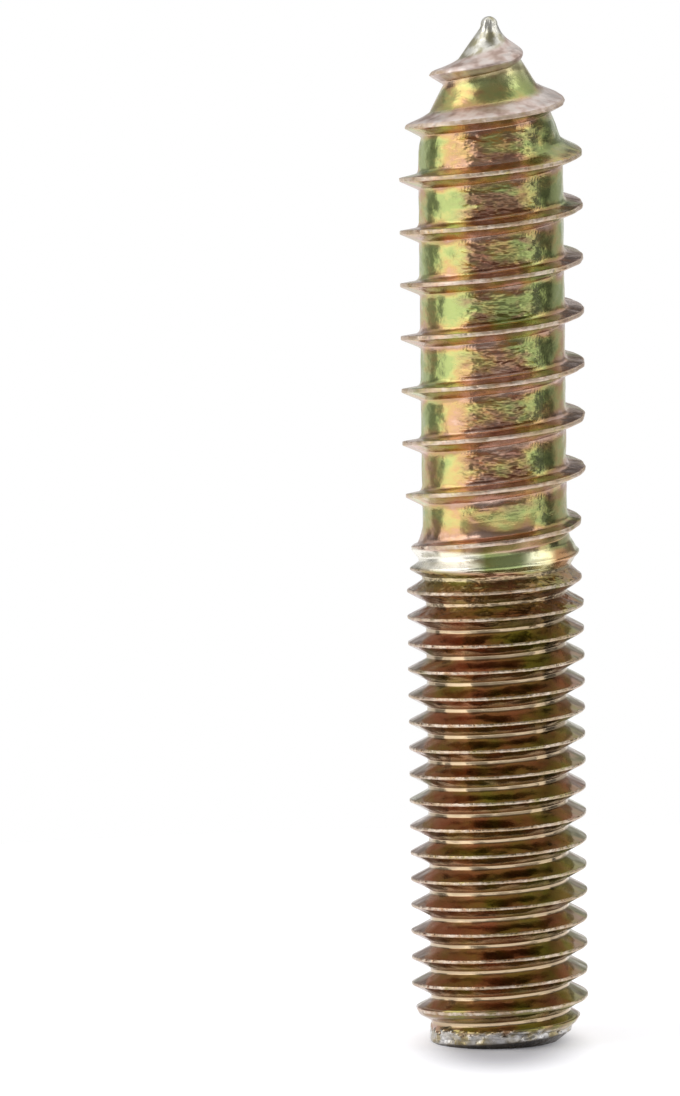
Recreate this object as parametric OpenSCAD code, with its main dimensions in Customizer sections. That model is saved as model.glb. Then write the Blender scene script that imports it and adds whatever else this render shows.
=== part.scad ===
// Hanger bolt: a metric machine thread below, a coarse wood thread with a gimlet point above,
// rolled on one steel blank. Millimetres. It stands on its flat end at z = 0, point up along +Z.

/* [Overall] */
// Length from the flat end to the tip of the point
overall_length = 58.5; // [52:0.1:64]
// Height of the neck, where the two threads run out into each other
neck_height = 28.1; // [23:0.1:32]

/* [Machine thread] */
// Diameter over the machine thread's crests
machine_d = 10; // [9.6:0.02:10.4]
// Diameter at the machine thread's roots
machine_root_d = 7.94; // [7.6:0.02:8.2]
// Rise of the machine thread in one turn
machine_pitch = 1.5; // [1.3:0.05:1.75]
// Width of the flat left on each machine crest
machine_crest = 0.16; // [0.1:0.01:0.22]

/* [Wood thread] */
// Diameter over the wood thread's crests
wood_d = 10.4; // [9.8:0.02:10.8]
// Diameter of the core between the wood thread's crests
wood_core_d = 8.2; // [7.8:0.02:8.5]
// Rise of the wood thread in one turn
wood_pitch = 3; // [2.6:0.05:3.4]
// Width of the flat on each wood thread crest
wood_crest = 0.22; // [0.16:0.01:0.36]
// Slope of the lower flank, measured along the bolt from crest to core
wood_lower_flank = 0.5; // [0.35:0.01:0.65]
// Foot of the steep upper flank, measured along the bolt from crest to core
wood_upper_flank = 0.62; // [0.45:0.01:0.75]

/* [Neck] */
// Diameter of the bare neck
neck_d = 8.76; // [8.4:0.02:9]
// Diameter over the shallow crests on both sides of the neck
neck_crest_d = 9.48; // [9.1:0.02:9.8]
// Length over which the machine thread grows to its full depth
machine_runout = 2.4; // [1.5:0.1:4]
// Length over which the wood thread grows to its full depth
wood_runout = 4.8; // [3:0.1:6]

/* [Gimlet point] */
// Length over which the core tapers to the tip
point_length = 7.8; // [6:0.1:9.5]
// Distance below the tip at which the thread is fully formed
point_thread = 3.2; // [2.6:0.1:5]
// Radius of the rounded tip
tip_radius = 0.48; // [0.3:0.02:0.6]

/* [Flat end] */
// Diameter of the flat end face
end_face_d = 7; // [6.4:0.05:7.6]
// Diameter of the rounded rim around the end face
end_rim_d = 8.1; // [7.8:0.05:8.3]
// Height of the rounded chamfer that thins the last crests
end_chamfer = 2.1; // [1.6:0.1:3]

/* [Hidden] */
// columns of the threaded skin in one turn
COLUMNS = 32;
// rise of the crest line across the neck, in half a turn
NECK_RISE = 0.17;
// length over which the core changes between the neck and either thread
NECK_BLEND = 1.4;
// heights of the flat end's edge and of its rim
EDGE_Z = 0.14;
RIM_Z = 0.45;
// gap between the rim and the lowest point of the threaded skin
RIM_GAP = 0.15;
// distances below the tip of the last column's foot and of its head
TIP_FOOT = 2;
TIP_HEAD = 0.4;
// yellow passivated zinc
ZINC = [0.62, 0.53, 0.33];

// One pitch of each thread, from the root below a crest to the root above it,
// as shares of the pitch and of the thread's height.
ROOT_SHARE = 0.14;
crest_share = machine_crest / machine_pitch;
machine_low = (1 - ROOT_SHARE - crest_share) / 2;
machine_share = [0, machine_low, machine_low + crest_share, 1 - ROOT_SHARE, 1 - ROOT_SHARE / 2];
machine_height = [0.04, 1, 1, 0.04, 0];
wood_low = wood_lower_flank / wood_pitch;
wood_top = wood_low + wood_crest / wood_pitch;
wood_foot = wood_upper_flank / wood_pitch;
wood_share = [0, wood_low, wood_top, wood_top + 0.27 * wood_foot, wood_top + wood_foot];
wood_height = [0, 1, 1, 0.2, 0];
ROWS = len(machine_share);

// distance along the bolt from a profile's foot to the middle of its crest
machine_lead = (machine_low + crest_share / 2) * machine_pitch;
wood_lead = (wood_low + wood_top) / 2 * wood_pitch;

function mix(a, b, t) = a + (b - a) * t;
function clamp01(t) = max(0, min(1, t));
function ease(t) = let (c = clamp01(t)) c * c * (3 - 2 * c);

// height of the crest line after u turns, counted from the neck
function crest_z(u) = u < 0 ? neck_height + machine_pitch * u
    : u < 0.5 ? neck_height + NECK_RISE * 2 * u
    : neck_height + NECK_RISE + wood_pitch * (u - 0.5);

// 0 in the machine thread, 1 in the wood thread
function kind(u) = ease(u + 0.4);

// height of a profile's foot after u turns, drawn together near the tip
last_foot = overall_length - TIP_FOOT;
squeeze = (TIP_FOOT - TIP_HEAD) / wood_pitch;
function foot_z(u) = let (z = crest_z(u) - mix(machine_lead, wood_lead, kind(u)))
    z < last_foot ? z : last_foot + (z - last_foot) * squeeze;

// first and last full column of the threaded skin
first = ceil(COLUMNS * (RIM_Z + RIM_GAP + machine_lead - neck_height) / machine_pitch);
last = floor(COLUMNS * (0.5 + (last_foot + wood_lead - neck_height - NECK_RISE) / wood_pitch));

// radius of the blank and radius over the crests, at height z
function core_r(z) = let (away = abs(z - neck_height - NECK_RISE))
    mix(neck_d, z < neck_height ? machine_root_d : wood_core_d, ease(away / NECK_BLEND)) / 2;
function crest_r(z) = z < neck_height
    ? mix(neck_crest_d, machine_d, ease((neck_height - z) / machine_runout)) / 2
    : mix(neck_crest_d, wood_d, clamp01((z - neck_height) / wood_runout)) / 2;

// what the point leaves of the core and of the thread's depth
function point_core(z) = 1 - pow(clamp01(1 - (overall_length - z) / point_length), 1.5);
function point_depth(z) = ease((overall_length - z - 0.8) / (point_thread - 0.8));

// limits set by the rounded tip and by the chamfer above the flat end
function tip_r(z) = let (d = min(overall_length - z, tip_radius)) sqrt(d * (2 * tip_radius - d));
function chamfer_r(z) =
    (end_rim_d + (machine_d - end_rim_d) * pow(max(0, (z - RIM_Z) / end_chamfer), 0.6)) / 2;

// radius of the skin at height z, for a profile point of the given share of the thread's height
function skin_r(z, height) = let (
        blank = max(core_r(z) * point_core(z), tip_r(z)),
        depth = (crest_r(z) - core_r(z)) * point_depth(z))
    min(blank + height * depth, chamfer_r(z));

// one column of the skin after i / COLUMNS turns; the thread fades in and out over a few columns
function column(i) = let (
        u = i / COLUMNS,
        foot = foot_z(u),
        rise = foot_z(u + 1) - foot,
        fade = clamp01((i - first + 2) / 6) * clamp01((last - i + 1) / 5))
    [for (j = [0:ROWS - 1]) let (
            z = foot + rise * mix(machine_share[j], wood_share[j], kind(u)),
            r = skin_r(z, fade * mix(machine_height[j], wood_height[j], kind(u))))
        [r * cos(360 * u), r * sin(360 * u), z]];

// ring of the flat end, in step with the first turn of columns
function ring(d, z) = [for (i = [first:first + COLUMNS - 1])
    [d / 2 * cos(360 * i / COLUMNS), d / 2 * sin(360 * i / COLUMNS), z]];

// point j of column i. A column's head is the foot of the column one turn on, and above the
// last full column the skin has only such feet.
FULL = (last - first + 1) * ROWS;
function at(i, j) = j == ROWS ? at(i + COLUMNS, 0)
    : i <= last ? (i - first) * ROWS + j
    : FULL + i - last - 1;

module hanger_bolt() {
    tip = FULL + COLUMNS;
    rim = tip + 1;
    edge = rim + COLUMNS;
    face = edge + COLUMNS;
    points = concat(
        [for (i = [first:last]) each column(i)],
        [for (i = [last + 1:last + COLUMNS]) column(i)[0]],
        [[0, 0, overall_length]],
        ring(end_rim_d, RIM_Z),
        ring(mix(end_rim_d, end_face_d, 0.3), EDGE_Z),
        ring(end_face_d, 0));

    threads = [for (i = [first:last - 1], j = [0:ROWS - 1]) each [
        [at(i, j), at(i, j + 1), at(i + 1, j + 1)],
        [at(i, j), at(i + 1, j + 1), at(i + 1, j)]]];
    point = concat(
        [for (i = [last:last + COLUMNS - 1]) [at(i, 0), tip, at(i + 1, 0)]],
        [for (j = [0:ROWS - 1]) [at(last, j), at(last, j + 1), tip]]);

    // the flat end: from the first turn's feet down to the rim, its edge and the face
    skirt = [for (k = [0:COLUMNS - 2]) each [
        [rim + k, at(first + k, 0), at(first + k + 1, 0)],
        [rim + k, at(first + k + 1, 0), rim + k + 1]]];
    corner = at(first + COLUMNS - 1, 0);
    step = concat(
        [for (j = [0:ROWS - 1]) [corner, at(first, j + 1), at(first, j)]],
        [[corner, at(first, 0), rim], [corner, rim, rim + COLUMNS - 1]]);
    bands = [for (low = [edge, face], k = [0:COLUMNS - 1]) let (n = (k + 1) % COLUMNS) each [
        [low + k, low - COLUMNS + k, low - COLUMNS + n],
        [low + k, low - COLUMNS + n, low + n]]];
    end = [[for (k = [0:COLUMNS - 1]) face + k]];

    polyhedron(points, concat(threads, point, skirt, step, bands, end), convexity = 12);
}

color(ZINC) hanger_bolt();
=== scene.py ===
# %% [markdown]
# # A hanger bolt in Blender
# A hanger bolt is a steel stud with two threads. The lower half is a metric machine thread for a
# nut, the upper half is a coarse wood thread that ends in a gimlet point. This lesson winds both
# threads as one ridge, cuts the flat end, rounds the tip, gives the bolt its zinc finish, and
# lights it on a pale table.

import math

import bmesh
import bpy
import numpy as np
from mathutils import Matrix, Vector, noise


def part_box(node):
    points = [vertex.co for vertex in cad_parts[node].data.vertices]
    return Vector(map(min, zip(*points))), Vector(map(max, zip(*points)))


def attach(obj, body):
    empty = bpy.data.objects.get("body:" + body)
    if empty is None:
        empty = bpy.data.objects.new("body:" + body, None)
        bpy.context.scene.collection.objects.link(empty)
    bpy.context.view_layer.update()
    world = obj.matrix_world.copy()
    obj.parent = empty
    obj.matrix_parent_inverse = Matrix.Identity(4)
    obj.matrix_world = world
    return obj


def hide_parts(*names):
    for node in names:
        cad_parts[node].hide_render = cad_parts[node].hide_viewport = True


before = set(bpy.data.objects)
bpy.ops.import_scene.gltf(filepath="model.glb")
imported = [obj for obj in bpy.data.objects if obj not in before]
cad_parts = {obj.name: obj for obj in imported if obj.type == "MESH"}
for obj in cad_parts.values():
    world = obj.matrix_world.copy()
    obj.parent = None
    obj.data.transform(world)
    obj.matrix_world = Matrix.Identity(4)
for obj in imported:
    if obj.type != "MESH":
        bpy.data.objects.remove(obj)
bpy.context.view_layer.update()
MM = 0.001
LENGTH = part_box("hanger_bolt")[1].z / MM

# %% [markdown]
# ## The camera
# A long lens from about 0.8 m keeps the bolt's sides almost parallel. The camera stands a little
# above the bolt, aims at its middle, and is then panned so that the bolt sits right of centre.
# A slight roll tips the view, not the bolt, so the model still stands upright from every side.

# %% The camera's place and lens
CAMERA_DISTANCE = 0.80
CAMERA_ELEVATION = math.radians(6.55)
CAMERA_ROLL = math.radians(0.672)
AIM_HEIGHT = 29.0 * MM
FRAME_HEIGHT_PX = 1096
PX_PER_METRE = 17606
AIM_RIGHT_PX, AIM_UP_PX = 154.9, 13.6
SENSOR_HEIGHT_MM = 24

focal_px = PX_PER_METRE * CAMERA_DISTANCE
back = Vector((0, -math.cos(CAMERA_ELEVATION), math.sin(CAMERA_ELEVATION)))
right = Vector((1, 0, 0))
up = back.cross(right)
pan = math.atan2(AIM_RIGHT_PX, focal_px)
tilt = math.atan2(AIM_UP_PX, math.hypot(focal_px, AIM_RIGHT_PX))

look = Matrix((right, up, back)).transposed()
turned = (look @ Matrix.Rotation(-CAMERA_ROLL, 3, "Z") @ Matrix.Rotation(pan, 3, "Y")
          @ Matrix.Rotation(-tilt, 3, "X"))
stand = Matrix.Translation(Vector((0, 0, AIM_HEIGHT)) + back * CAMERA_DISTANCE)
camera_data = bpy.data.cameras.new("camera")
camera_data.sensor_fit = "VERTICAL"
camera_data.sensor_height = SENSOR_HEIGHT_MM
camera_data.lens = focal_px / FRAME_HEIGHT_PX * SENSOR_HEIGHT_MM
camera = bpy.data.objects.new("camera", camera_data)
camera.matrix_world = stand @ turned.to_4x4()
bpy.context.scene.collection.objects.link(camera)
bpy.context.scene.camera = camera
print(f"a {camera_data.lens:.0f} mm lens, panned {math.degrees(pan):.2f} degrees")

# %% [markdown]
# ## The rolled thread
# A thread is one ridge wound round a rod. It could be a section swept along a helix, but then the
# two pitches and their run-outs would have to be joined afterwards. Here a short upright line, one
# pitch tall, is spun round the axis while it climbs by one pitch, and that turn is stacked until
# the stud is long enough. This plain screw is measured in turns instead of millimetres. Every
# point knows its turn and its place across the ridge, and can be moved to its true height and
# radius.

# %% Sizes of the two threads, in millimetres
# crest, root and core are radii, and flat is the width of the crest. lead is how far the crest's
# middle lies above the ridge's foot. flank is how far a flank reaches along the bolt, and corner
# is the share of it that is rounded over.
NECK, NECK_RISE = 28.1, 0.17
NECK_R, NECK_CREST_R = 4.38, 4.74
MACHINE = dict(crest=5.02, root=3.97, pitch=1.5, flat=0.16, lead=0.655, flank=0.555, corner=0.07)
WOOD = dict(crest=5.2, core=4.1, pitch=3.0, flat=0.22, lead=0.62, flank=0.47, corner=0.09)
SPARE_LENGTH = 1.0

COLUMNS, ROWS = 132, 24
START_TURN = -math.ceil((NECK + MACHINE["pitch"]) / MACHINE["pitch"])
END_TURN = math.ceil((LENGTH - NECK + SPARE_LENGTH) / WOOD["pitch"])
TURNS = END_TURN - START_TURN
print(f"{-START_TURN} turns below the neck and {END_TURN} above it")

# %% Helpers that lead from one value to another
def ease(t):
    """0 up to t = 0, 1 from t = 1 on, and a smooth step between them."""
    t = np.clip(t, 0, 1)
    return t * t * (3 - 2 * t)


def fade(distance, over):
    """0 while the distance is negative, and 1 once it is as long as `over`."""
    return ease(distance / over)


def mix(a, b, t):
    """a at t = 0, b at t = 1."""
    return a + (b - a) * t


print(f"a quarter of the way along, a smooth step stands at {ease(0.25):.3f}")

# %% Spin one turn and stack the rest
WELD_DISTANCE = 0.2 / ROWS
turn = bmesh.new()
line = [turn.verts.new((1, 0, 0))]
for row in range(ROWS):
    line = bmesh.ops.extrude_vert_indiv(turn, verts=line)["verts"]
    bmesh.ops.translate(turn, verts=line, vec=(0, 0, 1 / ROWS))
bmesh.ops.spin(turn, geom=turn.verts[:] + turn.edges[:], cent=(0, 0, 0), axis=(0, 0, 1),
               dvec=(0, 0, 1 / COLUMNS), angle=math.tau, steps=COLUMNS, use_duplicate=False)
one_turn = turn.verts[:] + turn.edges[:] + turn.faces[:]
for n in range(1, TURNS):
    copy = bmesh.ops.duplicate(turn, geom=one_turn)["geom"]
    copied_points = [part for part in copy if isinstance(part, bmesh.types.BMVert)]
    bmesh.ops.translate(turn, verts=copied_points, vec=(0, 0, n))
bmesh.ops.remove_doubles(turn, verts=turn.verts, dist=WELD_DISTANCE)
print(f"{TURNS} turns of {COLUMNS} columns: {len(turn.verts)} points")

# %% [markdown]
# ## From a plain screw to two threads
# The ridge keeps winding at 1.5 mm a turn up to the neck, steps across it almost level, and goes
# on at 3 mm a turn. Across the ridge the rows are drawn together where the surface turns sharply,
# at the crest's edges and at the root, so few rows give a crisp thread.

# %% Each point's turn, and its place across the ridge
NEXT_ROW = 0.4 / ROWS
place = np.array([v.co for v in turn.verts])
column = np.round(np.arctan2(place[:, 1], place[:, 0]) / math.tau * COLUMNS) % COLUMNS
height = place[:, 2] + START_TURN
across = (height - column / COLUMNS) % 1
across = np.where(across > 1 - NEXT_ROW, 0, across)
turns = np.round((height - across) * COLUMNS) / COLUMNS
angle = column / COLUMNS * math.tau
print(f"the ridge runs from turn {turns.min():.1f} to turn {turns.max():.1f}, counted from the neck")

# %% The ridge's height along the bolt
NECK_TURN = 0.5
SECTION_CHANGE = 0.4


def crest_z(u):
    """Height of the crest at turn u: 1.5 mm a turn, half a turn of neck, then 3 mm a turn."""
    machine = NECK + MACHINE["pitch"] * u
    neck = NECK + NECK_RISE * u / NECK_TURN
    wood = NECK + NECK_RISE + WOOD["pitch"] * (u - NECK_TURN)
    return np.where(u < 0, machine, np.where(u < NECK_TURN, neck, wood))


def kind(u):
    """0 where the ridge is machine thread, 1 where it is wood thread."""
    return ease(u + SECTION_CHANGE)


def foot_z(u):
    """Height of the foot under the crest at turn u."""
    return crest_z(u) - mix(MACHINE["lead"], WOOD["lead"], kind(u))


print(f"the wood thread's crest starts {crest_z(NECK_TURN):.2f} mm up, "
      f"{WOOD['pitch'] / MACHINE['pitch']:.0f} times as coarse as the machine thread's")

# %% Draw the rows together where the surface turns sharply
# where some rows lie between one foot of the ridge and the next, as shares of the way
ROW_KNOTS = np.array([0, 1, 6, 8, 10, 12, 17, 20, 24]) / ROWS
MACHINE_KNOTS = [0, 0.025, 0.355, 0.39, 0.485, 0.52, 0.85, 0.93, 1]
WOOD_KNOTS = [0, 0.03, 0.155, 0.18, 0.236, 0.258, 0.35, 0.48, 1]
machine_share = np.interp(across, ROW_KNOTS, MACHINE_KNOTS)
wood_share = np.interp(across, ROW_KNOTS, WOOD_KNOTS)
wood_part = kind(turns)
share = mix(machine_share, wood_share, wood_part)
rise = foot_z(turns + 1) - foot_z(turns)
z = foot_z(turns) + share * rise
below_tip = LENGTH - z
print(f"the rows reach from {z.min():.1f} mm to {z.max():.1f} mm, before the ends are cut")

# %% The ridge's height across one pitch
UPPER_FLANK, UPPER_FLANK_AT_POINT, UPPER_CORNER = 0.16, 0.55, 0.12
SLACK_BELOW_TIP, SLACK_OVER = 9.5, 3
FILLET_START, FILLET_WIDTH, FILLET_SHARE = 0.02, 0.58, 0.2


def soft(t, corner):
    """0 below 0 and 1 above 1, with the corners rounded over a share of the way."""
    foot = np.clip(t + corner, 0, None) ** 2 / (4 * corner)
    t = np.where(t < corner, foot, t)
    top = 1 - np.clip(1 + corner - t, 0, None) ** 2 / (4 * corner)
    return np.where(t > 1 - corner, top, t)


beside = share - mix(MACHINE["lead"] / MACHINE["pitch"], WOOD["lead"] / WOOD["pitch"], wood_part)
machine_x = np.abs(beside) * MACHINE["pitch"]
machine_ridge = soft(1 - (machine_x - MACHINE["flat"] / 2) / MACHINE["flank"], MACHINE["corner"])

wood_x = beside * WOOD["pitch"]
half_flat = WOOD["flat"] / 2
lower_side = soft(1 + (wood_x + half_flat) / WOOD["flank"], WOOD["corner"])
upper_width = UPPER_FLANK + UPPER_FLANK_AT_POINT * fade(SLACK_BELOW_TIP - below_tip, SLACK_OVER)
steep = soft(1 - (wood_x - half_flat) / upper_width, UPPER_CORNER)
fillet = ease(1 - (wood_x - half_flat - FILLET_START) / FILLET_WIDTH) ** 2
upper_side = steep * (1 - FILLET_SHARE) + FILLET_SHARE * fillet
ridge = mix(machine_ridge, np.where(wood_x < 0, lower_side, upper_side), wood_part)
print(f"{(ridge > 0.99).mean():.0%} of the points lie on a crest")

# %% [markdown]
# ## Neck, point and chamfered end
# The blank between the ridges is thickest at the neck. Above, it runs up to the point on a curve
# that starts parallel to the sides and grows steeper, and the thread thins with it. Below, a
# chamfer cuts the last crests down to the rim. Each could be cut from the stud with a boolean, but
# a radius worked out for every point keeps the skin in one piece and its rows in order.

# %% Core and crest, run out to the neck
MACHINE_CORE_RUN, WOOD_CORE_RUN = 3.4, 1.4
MACHINE_CREST_RUN, WOOD_CREST_RUN = 2.4, 4.8
below_neck = z < NECK
from_neck = np.abs(z - NECK - NECK_RISE)
plain_core = np.where(below_neck, MACHINE["root"], WOOD["core"])
core_run = np.where(below_neck, MACHINE_CORE_RUN, WOOD_CORE_RUN)
core = mix(NECK_R, plain_core, fade(from_neck, core_run))
machine_crest = mix(NECK_CREST_R, MACHINE["crest"], fade(NECK - z, MACHINE_CREST_RUN))
wood_crest = mix(NECK_CREST_R, WOOD["crest"], np.clip((z - NECK) / WOOD_CREST_RUN, 0, 1))
crest = np.where(below_neck, machine_crest, wood_crest)
print(f"at its thickest the blank is {2 * core.max():.2f} mm across")

# %% The point, and the thread that runs out on it
POINT_LENGTH, POINT_CURVE, TIP_RADIUS = 7.8, 1.5, 0.48
FULL_THREAD, THREAD_END = 3.2, 0.8
FIRST_CREST, FIRST_CREST_RUN = 0.3, 0.7
taper = 1 - np.clip(1 - below_tip / POINT_LENGTH, 0, 1) ** POINT_CURVE
blank = np.maximum(core * taper, TIP_RADIUS)
run_out = fade(below_tip - THREAD_END, FULL_THREAD - THREAD_END)
run_in = fade(crest_z(turns) - FIRST_CREST, FIRST_CREST_RUN)
depth = (crest - core) * run_out * run_in
print(f"the thread is {depth.max():.2f} mm deep where it is deepest")

# %% The chamfer and the uneven bevel of the flat end
RIM_R, RIM_Z = 4.02, 0.85
CHAMFER_HEIGHT, CHAMFER_CURVE = 1.7, 0.6
BEVEL_MIDDLE, BEVEL_SWING, BEVEL_LEAST, BEVEL_MOST = 0.36, 0.30, 0.08, 0.6
BEVEL_SLOPE, BEVEL_CURVE = 1.3, 0.9
RIM_FILL, RIM_FILL_RUN = 0.1, 0.3
up_chamfer = np.clip((z - RIM_Z) / CHAMFER_HEIGHT, 0, None) ** CHAMFER_CURVE
chamfer = RIM_R + (MACHINE["crest"] - RIM_R) * up_chamfer
bevel = np.clip(BEVEL_MIDDLE + BEVEL_SWING * np.cos(angle), BEVEL_LEAST, BEVEL_MOST)
face_r = RIM_R - BEVEL_SLOPE * bevel
limit = face_r + (chamfer - face_r) * np.clip(z / bevel, 0, 1) ** BEVEL_CURVE
rim_fill = fade(RIM_Z + RIM_FILL - z, RIM_FILL_RUN) * RIM_R
radius = np.minimum(np.maximum(blank + ridge * depth, rim_fill), limit)
print(f"the bevel is {bevel.min():.2f} to {bevel.max():.2f} mm tall round the rim")

# %% Small dents from rolling and handling
DENT_DEPTH, WOOD_CREST_DENT, FULL_DENT_R = 0.035, 0.05, 4
RIM_DENT_DEPTH, RIM_DENT_LOW, RIM_DENT_HIGH = 0.08, 0.02, 1.3
RIM_DENT_RUN, RIM_DENT_TOP, RIM_DENT_TOP_RUN = 0.15, 1.2, 0.3
WIDEST_R = 5.21


def dent_noise(drum, around, along, shift=0.0):
    """Noise for every point, read from a drum so that it closes round the bolt."""
    spots = (Vector((drum * math.cos(a) * around, drum * math.sin(a) * around, h * along + shift))
             for a, h in zip(angle, z))
    return np.array([noise.noise(spot) for spot in spots])


dent_depth = DENT_DEPTH + WOOD_CREST_DENT * ridge * wood_part
radius = radius + dent_noise(4.85, 1.1, 1.3) * dent_depth * np.clip(radius / FULL_DENT_R, 0, 1) ** 2
near_rim = (z > RIM_DENT_LOW) & (z < RIM_DENT_HIGH)
hammered = np.where(near_rim, dent_noise(4, 2.4, 2.4, shift=7), 0.0)
rim_dents = hammered * RIM_DENT_DEPTH * fade(z, RIM_DENT_RUN) * fade(RIM_DENT_TOP - z, RIM_DENT_TOP_RUN)
radius = np.minimum(radius + rim_dents, WIDEST_R)
print(f"the rim is beaten by up to {np.abs(rim_dents).max():.3f} mm")

# %% [markdown]
# ## Marks that tell the finish where it is
# The finish has to know a crest from a root. A texture could be painted by hand, but the numbers
# that shaped the thread already say where everything lies. So they are stored on the points, each
# as a mark from 0 to 1, and stay in place however the bolt is turned.

# %% Marks where the metal shows: rubbed crests and the beaten rim; and the underside of the rim's bevel, where shade is painted
CREST_REACH, UNDER_CREST, WOOD_RUB_START = 0.03, 0.9, 0.3
RUB_END, RUB_RUN = 1, 2
BAND_HALF, BAND_DROP, BAND_EDGE = 0.66, 0.2, 0.25
BAND_R, BAND_SIDE, BAND_SIDE_EDGE, BAND_KEEPS = 5, 4.3, 0.5, 0.2
RIM_TOP, RIM_TILT, RIM_RAGGED, RIM_EDGE = 1.0, 0.06, 0.35, 0.2
UNDER_REACH, UNDER_EDGE = 0.02, 0.05

flat_rub = np.where(np.abs(wood_x) < half_flat + CREST_REACH, 1, ridge * UNDER_CREST)
rubbed = np.where(z < NECK + WOOD_RUB_START, ridge, flat_rub)
on_crest = rubbed * np.clip((below_tip - RUB_END) / RUB_RUN, 0, 1)
# the neck band, which later takes the neck's painted highlights and shade
neck_band = fade(BAND_HALF - np.abs(z - NECK + BAND_DROP), BAND_EDGE)
on_neck = neck_band * ease((BAND_SIDE - BAND_R * np.cos(angle)) / BAND_SIDE_EDGE + 1)
on_crest = on_crest * (1 - BAND_KEEPS * on_neck)
on_rim = fade(RIM_TOP + RIM_TILT * np.cos(angle) + RIM_RAGGED * hammered - z, RIM_EDGE)
# the underside of the bevel, where a near-black painted shade stands for the shadow between rim and table
under_shade_mask = fade(bevel + UNDER_REACH - z, UNDER_EDGE)
print(f"{(on_crest > 0.95).mean():.0%} of the points are rubbed, {(on_rim > 0.5).mean():.0%} are rim")

# %% The mark of the wrinkled core
TIP_CLEAR, TIP_EDGE = 0.6, 0.5
SCRATCHES, SCRATCHED_LENGTH, SCRATCHED_EDGE = 0.45, 3.2, 0.8
CORE_START, CORE_START_RUN = 2, 1.5
POINT_START, POINT_START_RUN = 5, 2
OFF_RIDGE, RIDGE_CLEAR, RIDGE_EDGE = 4, 0.12, 0.08
WRINKLE_PATCHES, WRINKLE_TURN = 3, math.radians(85.5)
PATCH_REACH, PATCH_EDGE = 0.6, 1.3
FIRST_TURNS, FIRST_TURNS_RUN, FIRST_TURNS_ROUGH = 4.5, 1.5, 0.6
FIRST_TURNS_TOP, FIRST_TURNS_TOP_RUN = 0.7, 0.3

off_tip = fade(below_tip - TIP_CLEAR, TIP_EDGE)
scratched_point = SCRATCHES * off_tip * (fade(SCRATCHED_LENGTH - below_tip, SCRATCHED_EDGE) * ridge)
above_neck = fade(z - NECK - CORE_START, CORE_START_RUN)
under_point = fade(below_tip - POINT_START, POINT_START_RUN)
beside_ridge = ease((beside - RIDGE_CLEAR) / RIDGE_EDGE + (beside < 0))
rough_core = scratched_point + above_neck * under_point * ease(1 - ridge * OFF_RIDGE) * beside_ridge
patches_round = ease((np.cos(WRINKLE_PATCHES * (angle + WRINKLE_TURN)) + PATCH_REACH) / PATCH_EDGE)
rough_core = rough_core * np.where(below_tip > POINT_START, patches_round, 1)
first_turns = FIRST_TURNS_ROUGH * fade(z - NECK + FIRST_TURNS, FIRST_TURNS_RUN)
first_turns = first_turns * fade(NECK - FIRST_TURNS_TOP - z, FIRST_TURNS_TOP_RUN)
rough_core = np.maximum(rough_core, first_turns)
print(f"{(rough_core > 0.5).mean():.0%} of the points are wrinkled")

# %% Marks where the film is thin or gathered, where the roots get a painted highlight, and the list of them all
PALE_LENGTH, PALE_RUN = 4.2, 2.6
BRUISED_LENGTH, BRUISED_RUN, BRUISED_ALL_ROUND = 7.6, 1.2, 5.2
BRUISE_RIDGE, BRUISE_FOOT = 4, 0.2
ROOT_START, ROOT_EDGE, ROOT_LOWEST, ROOT_LOWEST_RUN = 0.60, 0.08, 0.9, 0.4
FOLD_ABOVE, FOLD_UNDER = 0.9, 0.5

on_pale = fade(PALE_LENGTH - below_tip, PALE_RUN)
bruised_side = (wood_x > 0) | (below_tip < BRUISED_ALL_ROUND)
bruised_end = fade(BRUISED_LENGTH - below_tip, BRUISED_RUN)
on_pink = off_tip * ease(ridge * BRUISE_RIDGE - BRUISE_FOOT) * bruised_end * bruised_side
# the root mark picks out the machine thread's roots, which get a lighter gold as a painted highlight
on_root = fade(machine_x - ROOT_START, ROOT_EDGE) * (1 - wood_part) * fade(z - ROOT_LOWEST, ROOT_LOWEST_RUN)
above_ridge = ease(1 - (wood_x - half_flat) / FOLD_ABOVE)
under_ridge = ease(1 - (rise - WOOD["lead"] - wood_x) / FOLD_UNDER)
on_fold = np.maximum(above_ridge, under_ridge) * wood_part
# the root, neck and under marks also place painted highlights and shade
marks = {"crest": on_crest, "rough_core": rough_core, "rim": on_rim, "fold": on_fold, "pale": on_pale,
         "root": on_root, "pink": on_pink, "neck": on_neck, "under": under_shade_mask}
print(f"{len(marks)} marks: {', '.join(marks)}")

# %% Move the points and store their marks
layers = [turn.verts.layers.float.new(name) for name in marks]
for v, a, r, h, *values in zip(turn.verts, angle, radius, z, *marks.values()):
    v.co = (r * math.cos(a), r * math.sin(a), h)
    for layer, value in zip(layers, values):
        v[layer] = value
print(f"the widest crest is {2 * radius.max():.2f} mm across")

# %% [markdown]
# ## The two ends
# The screw still runs on past both ends. It is cut square at the table and just under the tip. The
# flat end gets one face. The tip is slightly rounded, and rows taken from the screw would leave
# pleats in so small a point, so it is closed by a dome of its own.

# %% Cut the flat end square
CUT_ACCURACY = 1e-5


def cut_square(height, outwards):
    """Cut the stud square at a height, drop what is beyond, and return the rim's edges."""
    stud = turn.verts[:] + turn.edges[:] + turn.faces[:]
    done = bmesh.ops.bisect_plane(turn, geom=stud, dist=CUT_ACCURACY, plane_co=(0, 0, height),
                                  plane_no=(0, 0, outwards), clear_outer=True)
    return [part for part in done["geom_cut"] if isinstance(part, bmesh.types.BMEdge)]


end_face = bmesh.ops.contextual_create(turn, geom=cut_square(0.0, -1))["faces"][0]
print(f"the flat end has {len(end_face.verts)} corners and {end_face.calc_area():.1f} mm2")

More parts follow.
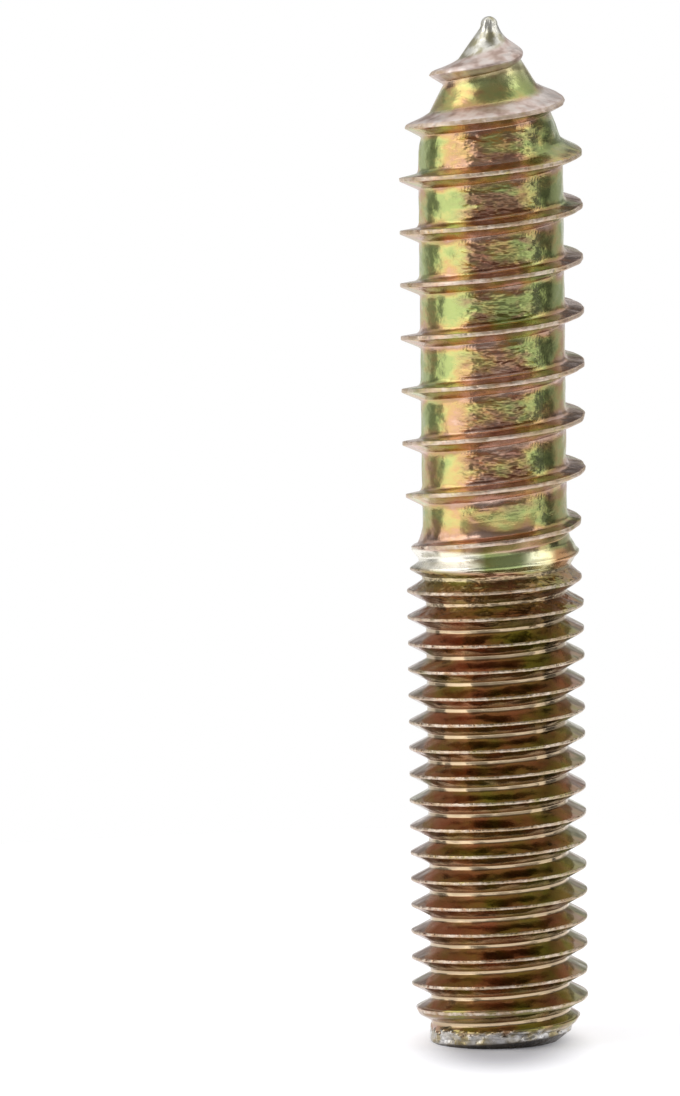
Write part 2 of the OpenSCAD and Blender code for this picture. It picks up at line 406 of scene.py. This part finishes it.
# %% Close the tip with a dome
DOME_RINGS = 8
ring = cut_square(LENGTH - TIP_RADIUS, 1)
for n in range(1, DOME_RINGS):
    before = math.radians(90 * (n - 1) / DOME_RINGS)
    now = math.radians(90 * n / DOME_RINGS)
    grown = bmesh.ops.extrude_edge_only(turn, edges=ring)["geom"]
    points = [part for part in grown if isinstance(part, bmesh.types.BMVert)]
    ring = [part for part in grown if isinstance(part, bmesh.types.BMEdge) and part.is_boundary]
    shrink = math.cos(now) / math.cos(before)
    climb = TIP_RADIUS * (math.sin(now) - math.sin(before))
    bmesh.ops.scale(turn, verts=points, vec=(shrink, shrink, 1))
    bmesh.ops.translate(turn, verts=points, vec=(0, 0, climb))
tip_face = bmesh.ops.contextual_create(turn, geom=ring)["faces"][0]
open_edges = sum(edge.is_boundary for edge in turn.edges)
print(f"the dome ends in a face of {tip_face.calc_area():.3f} mm2, open edges: {open_edges}")

# %% Make the bolt
bmesh.ops.scale(turn, verts=turn.verts, vec=(MM, MM, MM))
bmesh.ops.recalc_face_normals(turn, faces=turn.faces)
mesh = bpy.data.meshes.new("bolt")
turn.to_mesh(mesh)
turn.free()
mesh.shade_smooth()
bolt = bpy.data.objects.new("bolt", mesh)
bpy.context.scene.collection.objects.link(bolt)
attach(bolt, "root")
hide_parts("hanger_bolt")
print(f"{len(mesh.polygons)} faces, {sum(len(p.vertices) - 2 for p in mesh.polygons)} triangles")

# %% [markdown]
# ## The zinc finish
# The steel is plated with zinc and dipped in a chromate bath, which leaves a very thin film over
# bright metal. The film is gold where it is even, and turns green, yellow or salmon where it is
# thicker or thinner. An image could be wrapped round the bolt, but noise in millimetres has no
# seam and keeps its grain from close by. All of it is one metallic shader, whose colour, roughness
# and small bumps come from noise and from the nine marks.

# %% Short ways to write a node tree
class Tree:
    """A tree of shader nodes. Every socket takes a value or the output of another node."""

    def __init__(self, owner):
        owner.use_nodes = True
        self.nodes = owner.node_tree.nodes
        self.links = owner.node_tree.links
        self.nodes.clear()

    def add(self, kind, sockets=None, **settings):
        node = self.nodes.new("ShaderNode" + kind)
        for key, value in settings.items():
            setattr(node, key, value)
        for key, value in (sockets or {}).items():
            if isinstance(value, bpy.types.NodeSocket):
                self.links.new(value, node.inputs[key])
            else:
                node.inputs[key].default_value = value
        return node

    def calculate(self, operation, a, b):
        return self.add("Math", {0: a, 1: b}, operation=operation).outputs[0]

    def plus(self, a, b):
        return self.calculate("ADD", a, b)

    def minus(self, a, b):
        return self.calculate("SUBTRACT", a, b)

    def times(self, a, b):
        return self.calculate("MULTIPLY", a, b)

    def larger(self, a, b):
        return self.calculate("MAXIMUM", a, b)

    def spread(self, value, low, high, to_low=0.0, to_high=1.0, steps="LINEAR"):
        """Stretch low..high to to_low..to_high, and hold the ends beyond."""
        return self.add("MapRange", {"Value": value, "From Min": low, "From Max": high,
                                     "To Min": to_low, "To Max": to_high},
                        interpolation_type=steps).outputs[0]

    def blend(self, factor, a, b, how="MIX"):
        """Colour a where the factor is 0, and colour b over it where the factor is 1."""
        return self.add("Mix", {0: factor, 6: a, 7: b}, data_type="RGBA", blend_type=how).outputs[2]

    def ramp(self, factor, stops):
        """A row of (place, colour) stops, where a single number stands for a grey."""
        node = self.add("ValToRGB", {"Fac": factor})
        elements = node.color_ramp.elements
        while len(elements) < len(stops):
            elements.new(0.5)
        for element, (position, colour) in zip(elements, stops):
            element.position = position
            element.color = (*colour, 1) if isinstance(colour, tuple) else (colour, colour, colour, 1)
        return node.outputs["Color"]


print("node trees have", ", ".join(name for name in vars(Tree) if not name.startswith("_")))

# %% Where a point of the finish lies, and what it is marked with
HALF_WIDTH = 5.0
NECK_REACH = 3
zinc = bpy.data.materials.new("yellow_zinc")
tree = Tree(zinc)
here = tree.add("TexCoord").outputs["Object"]
mm_space = tree.add("VectorMath", {0: here, 1: (1 / MM, 1 / MM, 1 / MM)}, operation="MULTIPLY").outputs[0]
along = tree.add("SeparateXYZ", {0: mm_space}).outputs
side = tree.spread(along["X"], -HALF_WIDTH, HALF_WIDTH)
on_wood = tree.spread(along["Z"], NECK - NECK_REACH, NECK + NECK_REACH, steps="SMOOTHSTEP")
mark = {name: tree.add("Attribute", attribute_name=name).outputs["Fac"] for name in marks}


def zinc_noise(scale, squash, seed, detail=3.0, roughness=0.55):
    """Noise with features of 1 / scale millimetres, squash times finer along the bolt."""
    moved = tree.add("Mapping", {"Vector": mm_space, "Location": (seed, 2 * seed, seed),
                                 "Scale": (1, 1, squash)}).outputs[0]
    return tree.add("TexNoise", {"Vector": moved, "Scale": scale, "Detail": detail,
                                 "Roughness": roughness}).outputs["Fac"]


print(f"{len(mark)} marks are read by the finish")

# %% [markdown]
# ### The film
# The film's tone follows its thickness. Broad patches carry finer ones, the film is thicker in the
# fold beside a ridge, and its tone drifts from one side of the bolt to the other. A painted shade
# also darkens strips down the sides, where it dims the lamps' reflections. The machine thread's
# film is browner and darker, so it has tones of its own, and the two meet at the neck.

# %% The film's thickness in patches
BROAD_SCALE, FINE_SCALE, FINE_PATCHES = 0.30, 0.8, 0.66
broad = zinc_noise(BROAD_SCALE, 1.2, 3.0, detail=1.5)
fine_patches = tree.times(zinc_noise(FINE_SCALE, 1.8, 63.0), FINE_PATCHES)
patches = tree.minus(tree.plus(broad, fine_patches), FINE_PATCHES / 2)
print(f"broad patches of about {1 / BROAD_SCALE:.0f} mm, fine ones of about {1 / FINE_SCALE:.1f} mm")

# %% The film on the wood thread, with a painted shade down its right side
FOLD_THICKNESS = 0.24
SIDE_MIDDLE = 0.07
WOOD_SIDES = [(0.2, 0.0), (0.33, 0.02), (0.43, 0.09), (0.5, 0.10), (0.68, 0.07), (0.8, 0.0)]
UPPER_TURNS_LOW, UPPER_TURNS_HIGH, UPPER_TURNS_THIN = 34.0, 44.0, 0.06
WOOD_TONES = [(0.34, (0.36, 0.42, 0.15)), (0.42, (0.47, 0.47, 0.17)), (0.50, (0.53, 0.44, 0.16)),
              (0.58, (0.55, 0.36, 0.15)), (0.67, (0.56, 0.33, 0.20)), (0.80, (0.66, 0.45, 0.36))]
SPOT_BROWN, SPOT_STRENGTH = (0.34, 0.17, 0.12, 1), 0.85
# painted shade: darkens the film in a strip down the right side, where the right lamp's reflection falls
WOOD_PAINTED_SHADE = [(0.0, 1.0), (0.70, 1.0), (0.76, 0.80), (0.83, 0.70), (0.88, 0.95)]

thickness = tree.plus(patches, tree.times(mark["fold"], FOLD_THICKNESS))
upper_turns = tree.spread(along["Z"], UPPER_TURNS_LOW, UPPER_TURNS_HIGH, to_high=UPPER_TURNS_THIN)
wood_side = tree.minus(tree.ramp(side, WOOD_SIDES), SIDE_MIDDLE)
thickness = tree.plus(thickness, tree.minus(wood_side, upper_turns))
wood_tones = tree.ramp(thickness, WOOD_TONES)
spots = tree.spread(zinc_noise(0.7, 2.2, 41.0, detail=2.0), 0.46, 0.62)
spots = tree.times(tree.times(spots, mark["rough_core"]), SPOT_STRENGTH)
spotted = tree.blend(spots, wood_tones, SPOT_BROWN)
# the film times the painted shade of its side
wood_film_and_shade = tree.blend(1.0, spotted, tree.ramp(side, WOOD_PAINTED_SHADE), "MULTIPLY")
print(f"the wood thread's film passes through {len(WOOD_TONES)} tones")

# %% The film on the machine thread, with painted highlights along its roots and painted shade down its sides
MACHINE_SIDES = [(0.15, 0.13), (0.95, 0.0)]
MACHINE_THIN = 0.05
MACHINE_TONES = [(0.36, (0.33, 0.29, 0.09)), (0.45, (0.35, 0.25, 0.10)),
                 (0.55, (0.38, 0.23, 0.12)), (0.68, (0.42, 0.22, 0.13))]
ROOT_PAINTED_HIGHLIGHT = (0.62, 0.47, 0.30, 1)
# painted shade: darkens the film a little on the left and most on the right, dimming the lamps' reflections
# there
MACHINE_PAINTED_SHADE = [(0.15, 0.85), (0.24, 0.85), (0.35, 1.0), (0.5, 0.93), (0.7, 0.86), (0.8, 0.66),
                  (0.86, 0.85), (0.92, 1.0)]

machine_thickness = tree.plus(patches, tree.ramp(side, MACHINE_SIDES))
machine_tones = tree.ramp(tree.minus(machine_thickness, MACHINE_THIN), MACHINE_TONES)
# painted highlight: the roots take a lighter gold, which draws a bright line along each
machine_film_and_painted_light = tree.blend(mark["root"], machine_tones, ROOT_PAINTED_HIGHLIGHT)
# the film times the painted shade of its side
machine_film_and_painted_light = tree.blend(1.0, machine_film_and_painted_light, tree.ramp(side, MACHINE_PAINTED_SHADE), "MULTIPLY")
film = tree.blend(on_wood, machine_film_and_painted_light, wood_film_and_shade)
print(f"the machine thread's film passes through {len(MACHINE_TONES)} tones")

# %% Where the film is thin: the point and the neck, whose tones round the bolt paint its highlights and shade
PALE_TONES = [(0.60, (0.78, 0.74, 0.42)), (0.95, (0.84, 0.82, 0.74))]
PALE_STRENGTH = 1.5
DULL_OLIVE, DULL_STRENGTH = (0.40, 0.36, 0.19, 1), 0.85
# painted light: by side, the neck's tones are near-white and pale yellow where the lamps' reflections fall,
# dark green between them
NECK_TONES_AND_PAINTED_LIGHT = [(0.34, (0.92, 0.88, 0.76)), (0.40, (0.84, 0.83, 0.60)), (0.45, (0.38, 0.45, 0.16)),
              (0.64, (0.46, 0.54, 0.24)), (0.71, (0.92, 0.92, 0.62)), (0.81, (0.88, 0.78, 0.42)),
              (0.85, (0.62, 0.34, 0.15))]

dull = tree.spread(zinc_noise(1.6, 0.5, 71.0, detail=2.5), 0.43, 0.60)
pale = tree.blend(tree.times(dull, DULL_STRENGTH), tree.ramp(mark["pale"], PALE_TONES), DULL_OLIVE)
pale_share = tree.add("Math", {0: mark["pale"], 1: PALE_STRENGTH}, operation="MULTIPLY",
                      use_clamp=True).outputs[0]
film = tree.blend(pale_share, film, pale)
# the neck band takes the tones that paint its highlights and shade
film = tree.blend(mark["neck"], film, tree.ramp(side, NECK_TONES_AND_PAINTED_LIGHT))
print(f"the neck's film passes through {len(NECK_TONES_AND_PAINTED_LIGHT)} tones")

# %% [markdown]
# ### Bruised and bare metal
# The ridges near the point are bruised and have lost most of their colour. The crests rub against
# other bolts in the box and are bare, and so is the rim. Under the rim's bevel a dark painted shade
# stands for the shadow there. A second material could show the bare metal, but its edge would
# follow the faces, while a blend inside one material can be ragged.

# %% Bruised ridges, rubbed crests, the cut rim and the painted shade under its bevel
BRUISE_TONES = [(0.37, (0.54, 0.40, 0.34)), (0.48, (0.74, 0.60, 0.54)), (0.60, (0.84, 0.75, 0.70))]
CREST_TONES = [(0.40, (0.62, 0.47, 0.32)), (0.60, (0.80, 0.68, 0.56))]
RIM_TONES = [(0.40, (0.40, 0.33, 0.18)), (0.52, (0.58, 0.55, 0.50)), (0.66, (0.78, 0.77, 0.76))]
UNDER_PAINTED_SHADE = (0.13, 0.11, 0.09, 1)
WEAR_GRAIN, WEAR_LOW, WEAR_HIGH = 0.2, 1.05, 1.12

bruises = tree.ramp(zinc_noise(1.1, 1.0, 81.0, detail=2.0), BRUISE_TONES)
film = tree.blend(mark["pink"], film, bruises)
wear = tree.plus(mark["crest"], tree.times(zinc_noise(3.0, 1.0, 9.0), WEAR_GRAIN))
wear = tree.spread(wear, WEAR_LOW, WEAR_HIGH)
crest_silver = tree.ramp(zinc_noise(0.8, 1.0, 17.0), CREST_TONES)
rim_silver = tree.ramp(zinc_noise(1.1, 1.0, 19.0), RIM_TONES)
silver = tree.blend(mark["rim"], crest_silver, rim_silver)
colour = tree.blend(tree.larger(wear, mark["rim"]), film, silver)
# painted shade: the underside of the bevel is made near-black
colour = tree.blend(mark["under"], colour, UNDER_PAINTED_SHADE)
print(f"the finish takes {len(tree.nodes)} nodes up to here")

# %% [markdown]
# ### Gloss and relief
# Fresh film is nearly a mirror. Rubbed, pale and bruised metal is duller. The relief is a bump and
# not geometry, because wrinkles and speckles this fine would need millions of faces.

# %% How rough the metal is
SMOOTHEST, ROUGHEST = 0.12, 0.20
CREST_ROUGH, RIM_ROUGH = 0.28, 0.14
CORE_ROUGH, WOOD_ROUGH, BRUISE_ROUGH = 0.10, 0.07, 0.2

speckle = zinc_noise(3.0, 1.5, 23.0, detail=2.0)
roughness = tree.spread(speckle, 0.3, 0.7, to_low=SMOOTHEST, to_high=ROUGHEST)
worn_rough = tree.larger(tree.times(wear, CREST_ROUGH), tree.times(mark["rim"], RIM_ROUGH))
core_rough = tree.larger(mark["rough_core"], tree.larger(pale_share, mark["neck"]))
core_rough = tree.plus(tree.times(core_rough, CORE_ROUGH), tree.times(on_wood, WOOD_ROUGH))
roughness = tree.plus(tree.plus(roughness, worn_rough), core_rough)
roughness = tree.plus(roughness, tree.times(mark["pink"], BRUISE_ROUGH))
print(f"fresh film has a roughness of {SMOOTHEST} to {ROUGHEST}")

# %% The relief, and the shader
WRINKLE_HEIGHT, WAVE_HEIGHT, HAMMER_HEIGHT = 2.3, 0.9, 1.6
CREST_FINE, MACHINE_FINE, WOOD_FINE = 0.35, 0.05, 0.11
BUMP_DISTANCE = 0.00018
COAT_WEIGHT, COAT_ROUGHNESS = 0.2, 0.12

wrinkle = tree.times(zinc_noise(0.95, 2.3, 31.0, detail=2.0, roughness=0.5), WRINKLE_HEIGHT)
relief = tree.times(wrinkle, mark["rough_core"])
thread_fine = tree.spread(on_wood, 0.0, 1.0, to_low=MACHINE_FINE, to_high=WOOD_FINE)
fine = tree.larger(tree.times(wear, CREST_FINE), thread_fine)
relief = tree.plus(relief, tree.times(speckle, fine))
relief = tree.plus(relief, tree.times(zinc_noise(0.6, 1.5, 47.0, detail=1.0), WAVE_HEIGHT))
hammer = tree.times(mark["rim"], zinc_noise(1.8, 1.0, 53.0, detail=1.0))
relief = tree.plus(relief, tree.times(hammer, HAMMER_HEIGHT))
bump = tree.add("Bump", {"Height": relief, "Strength": 1.0, "Distance": BUMP_DISTANCE}).outputs[0]
shader = tree.add("BsdfPrincipled", {"Base Color": colour, "Metallic": 1.0, "Roughness": roughness,
                                     "Normal": bump, "Coat Weight": COAT_WEIGHT,
                                     "Coat Roughness": COAT_ROUGHNESS})
tree.add("OutputMaterial", {"Surface": shader.outputs[0]})
mesh.materials.append(zinc)
print(f"the whole finish takes {len(tree.nodes)} nodes")

# %% [markdown]
# ## The table
# The table is white and large. Lit by the lamps alone it would be grey, and brighter lamps would
# burn out the metal. So it glows a little where the camera or a reflection sees it, but the glow is
# held back in an oval round the bolt's foot, moved towards the camera, which paints a shadow there
# over the bolt's real shadow.

# %% A round white table, with a painted shadow round the bolt's foot
TABLE_RADIUS, TABLE_SIDES = 0.09, 96
SHADOW_SHIFT, SHADOW_SQUEEZE = 0.003, 2.1
GLOW_START, GLOW_FULL, GLOW_STRENGTH = 0.003, 0.0125, 0.6
CLOTH_WHITE = (0.83, 0.83, 0.88, 1)
WHITE = (1, 1, 1, 1)

disc = bmesh.new()
bmesh.ops.create_circle(disc, cap_ends=True, radius=TABLE_RADIUS, segments=TABLE_SIDES)
floor_mesh = bpy.data.meshes.new("table")
disc.to_mesh(floor_mesh)
disc.free()
floor = bpy.data.objects.new("table", floor_mesh)
bpy.context.scene.collection.objects.link(floor)

cloth = bpy.data.materials.new("table")
tree = Tree(cloth)
here = tree.add("TexCoord").outputs["Object"]
# painted shadow: an oval round the bolt's foot, moved towards the camera and narrowed sideways, where the
# glow is held back
shadow_shape = tree.add("Mapping", {"Vector": here, "Location": (0, SHADOW_SHIFT, 0),
                                    "Scale": (SHADOW_SQUEEZE, 1, 1)}).outputs[0]
from_bolt = tree.add("VectorMath", {0: shadow_shape}, operation="LENGTH").outputs["Value"]
glow = tree.spread(from_bolt, GLOW_START, GLOW_FULL, to_high=GLOW_STRENGTH, steps="SMOOTHSTEP")
path = tree.add("LightPath").outputs
seen = tree.larger(path["Is Camera Ray"], path["Is Glossy Ray"])
seen = tree.larger(seen, path["Is Transmission Ray"])
matt = tree.add("BsdfDiffuse", {"Color": CLOTH_WHITE}).outputs[0]
light = tree.add("Emission", {"Color": WHITE, "Strength": tree.times(glow, seen)}).outputs[0]
both = tree.add("AddShader", {0: matt, 1: light}).outputs[0]
tree.add("OutputMaterial", {"Surface": both})
floor_mesh.materials.append(cloth)
print(f"the table is {2 * TABLE_RADIUS / MM:.0f} mm across")

# %% [markdown]
# ## The room
# Metal shows what stands round it, so the room is made for its reflections. It could be a set of
# white cards, but a background of three rings takes fewer parts: one from the floor to just above
# eye level, one above it, and the ceiling. Each ring is a list of directions and brightnesses, and
# dim stretches between bright ones give the metal its dark bands. The camera itself sees plain
# white, and what is matt is lit by an even grey.

# %% Three rings of light
# compass directions in degrees, where 0 is the side of the camera and 90 is the right, and how
# bright the room is there
EYE_LEVEL = [(-180, 0.9), (-160, 0.9), (-150, 0.85), (-130, 0.9), (-120, 0.30), (-98, 0.30), (-49, 0.55),
             (-36, 0.45), (-19, 0.34), (-8, 0.50), (0, 0.64), (60, 0.64), (68, 0.12), (106, 0.12),
             (114, 0.55), (150, 0.6), (165, 0.9), (180, 0.9)]
ABOVE = [(-180, 0.1), (-168, 0.1), (-160, 0.6), (-120, 0.6), (-105, 0.9), (-60, 0.9), (-35, 0.25),
         (60, 0.22), (84, 0.85), (120, 0.7), (162, 0.7), (169, 0.10), (180, 0.10)]
CEILING = [(-180, 1.1), (-120, 1.0), (-60, 0.9), (-35, 0.3), (60, 0.25), (90, 0.9), (140, 1.1), (180, 1.1)]
# heights as the sine of the angle above the horizon
EYE_LEVEL_BY_HEIGHT = [(0.0, 1.0), (0.08, 1.0), (0.11, 0.55), (0.26, 0.5), (0.32, 0.15)]
ABOVE_START, ABOVE_FULL = 0.3, 0.36
CEILING_START, CEILING_FULL = 0.65, 0.75
EVEN_GREY = (0.5, 0.5, 0.5, 1)

world = bpy.data.worlds.new("room")
bpy.context.scene.world = world
tree = Tree(world)
toward = tree.add("SeparateXYZ", {0: tree.add("TexCoord").outputs["Generated"]}).outputs
compass = tree.calculate("ARCTAN2", toward["X"], tree.times(toward["Y"], -1.0))
compass = tree.spread(compass, -math.pi, math.pi)


def light_ring(stops):
    """A ring of light whose brightness changes with the compass direction."""
    return tree.ramp(compass, [((degrees + 180) / 360, bright) for degrees, bright in stops])


eye_level = tree.times(light_ring(EYE_LEVEL), tree.ramp(toward["Z"], EYE_LEVEL_BY_HEIGHT))
high = tree.spread(toward["Z"], ABOVE_START, ABOVE_FULL)
level = tree.blend(high, eye_level, light_ring(ABOVE))
highest = tree.spread(toward["Z"], CEILING_START, CEILING_FULL)
level = tree.blend(highest, level, light_ring(CEILING))
path = tree.add("LightPath").outputs
mirrored = tree.larger(path["Is Glossy Ray"], path["Is Transmission Ray"])
level = tree.blend(mirrored, EVEN_GREY, level)
level = tree.blend(path["Is Camera Ray"], level, WHITE)
ground = tree.add("Background", {"Color": level, "Strength": 1.0}).outputs[0]
tree.add("OutputWorld", {"Surface": ground})
print(f"the room has {len(EYE_LEVEL)}, {len(ABOVE)} and {len(CEILING)} brightnesses round it")

# %% [markdown]
# ## The lamps
# Two tall softboxes stand left and right of the bolt, a little on the camera's side of it. Tall
# boxes give long even highlights, where small lamps would leave a hot spot on every crest.

# %% Two softboxes
LAMP_AIM = 0.03


def softbox(name, azimuth, elevation, distance, width, height, brightness):
    """A lit rectangle that faces the bolt. Brightness is light per area, whatever the size."""
    a, e = math.radians(azimuth), math.radians(elevation)
    data = bpy.data.lights.new(name, "AREA")
    data.shape = "RECTANGLE"
    data.size, data.size_y = width, height
    data.energy = brightness * math.pi * width * height
    away = Vector((math.sin(a) * math.cos(e), -math.cos(a) * math.cos(e), math.sin(e))) * distance
    lamp = bpy.data.objects.new(name, data)
    stand = Matrix.Translation(away + Vector((0, 0, LAMP_AIM)))
    lamp.matrix_world = stand @ away.to_track_quat("Z", "Y").to_matrix().to_4x4()
    bpy.context.scene.collection.objects.link(lamp)
    print(f"{name}: {data.energy:.2f} W")


softbox("left_softbox", -72, 8, 0.6, 0.50, 1.2, 1.25)
softbox("right_softbox", 77, 8, 0.6, 0.20, 1.0, 1.3)
bpy.context.scene.view_settings.view_transform = "Standard"
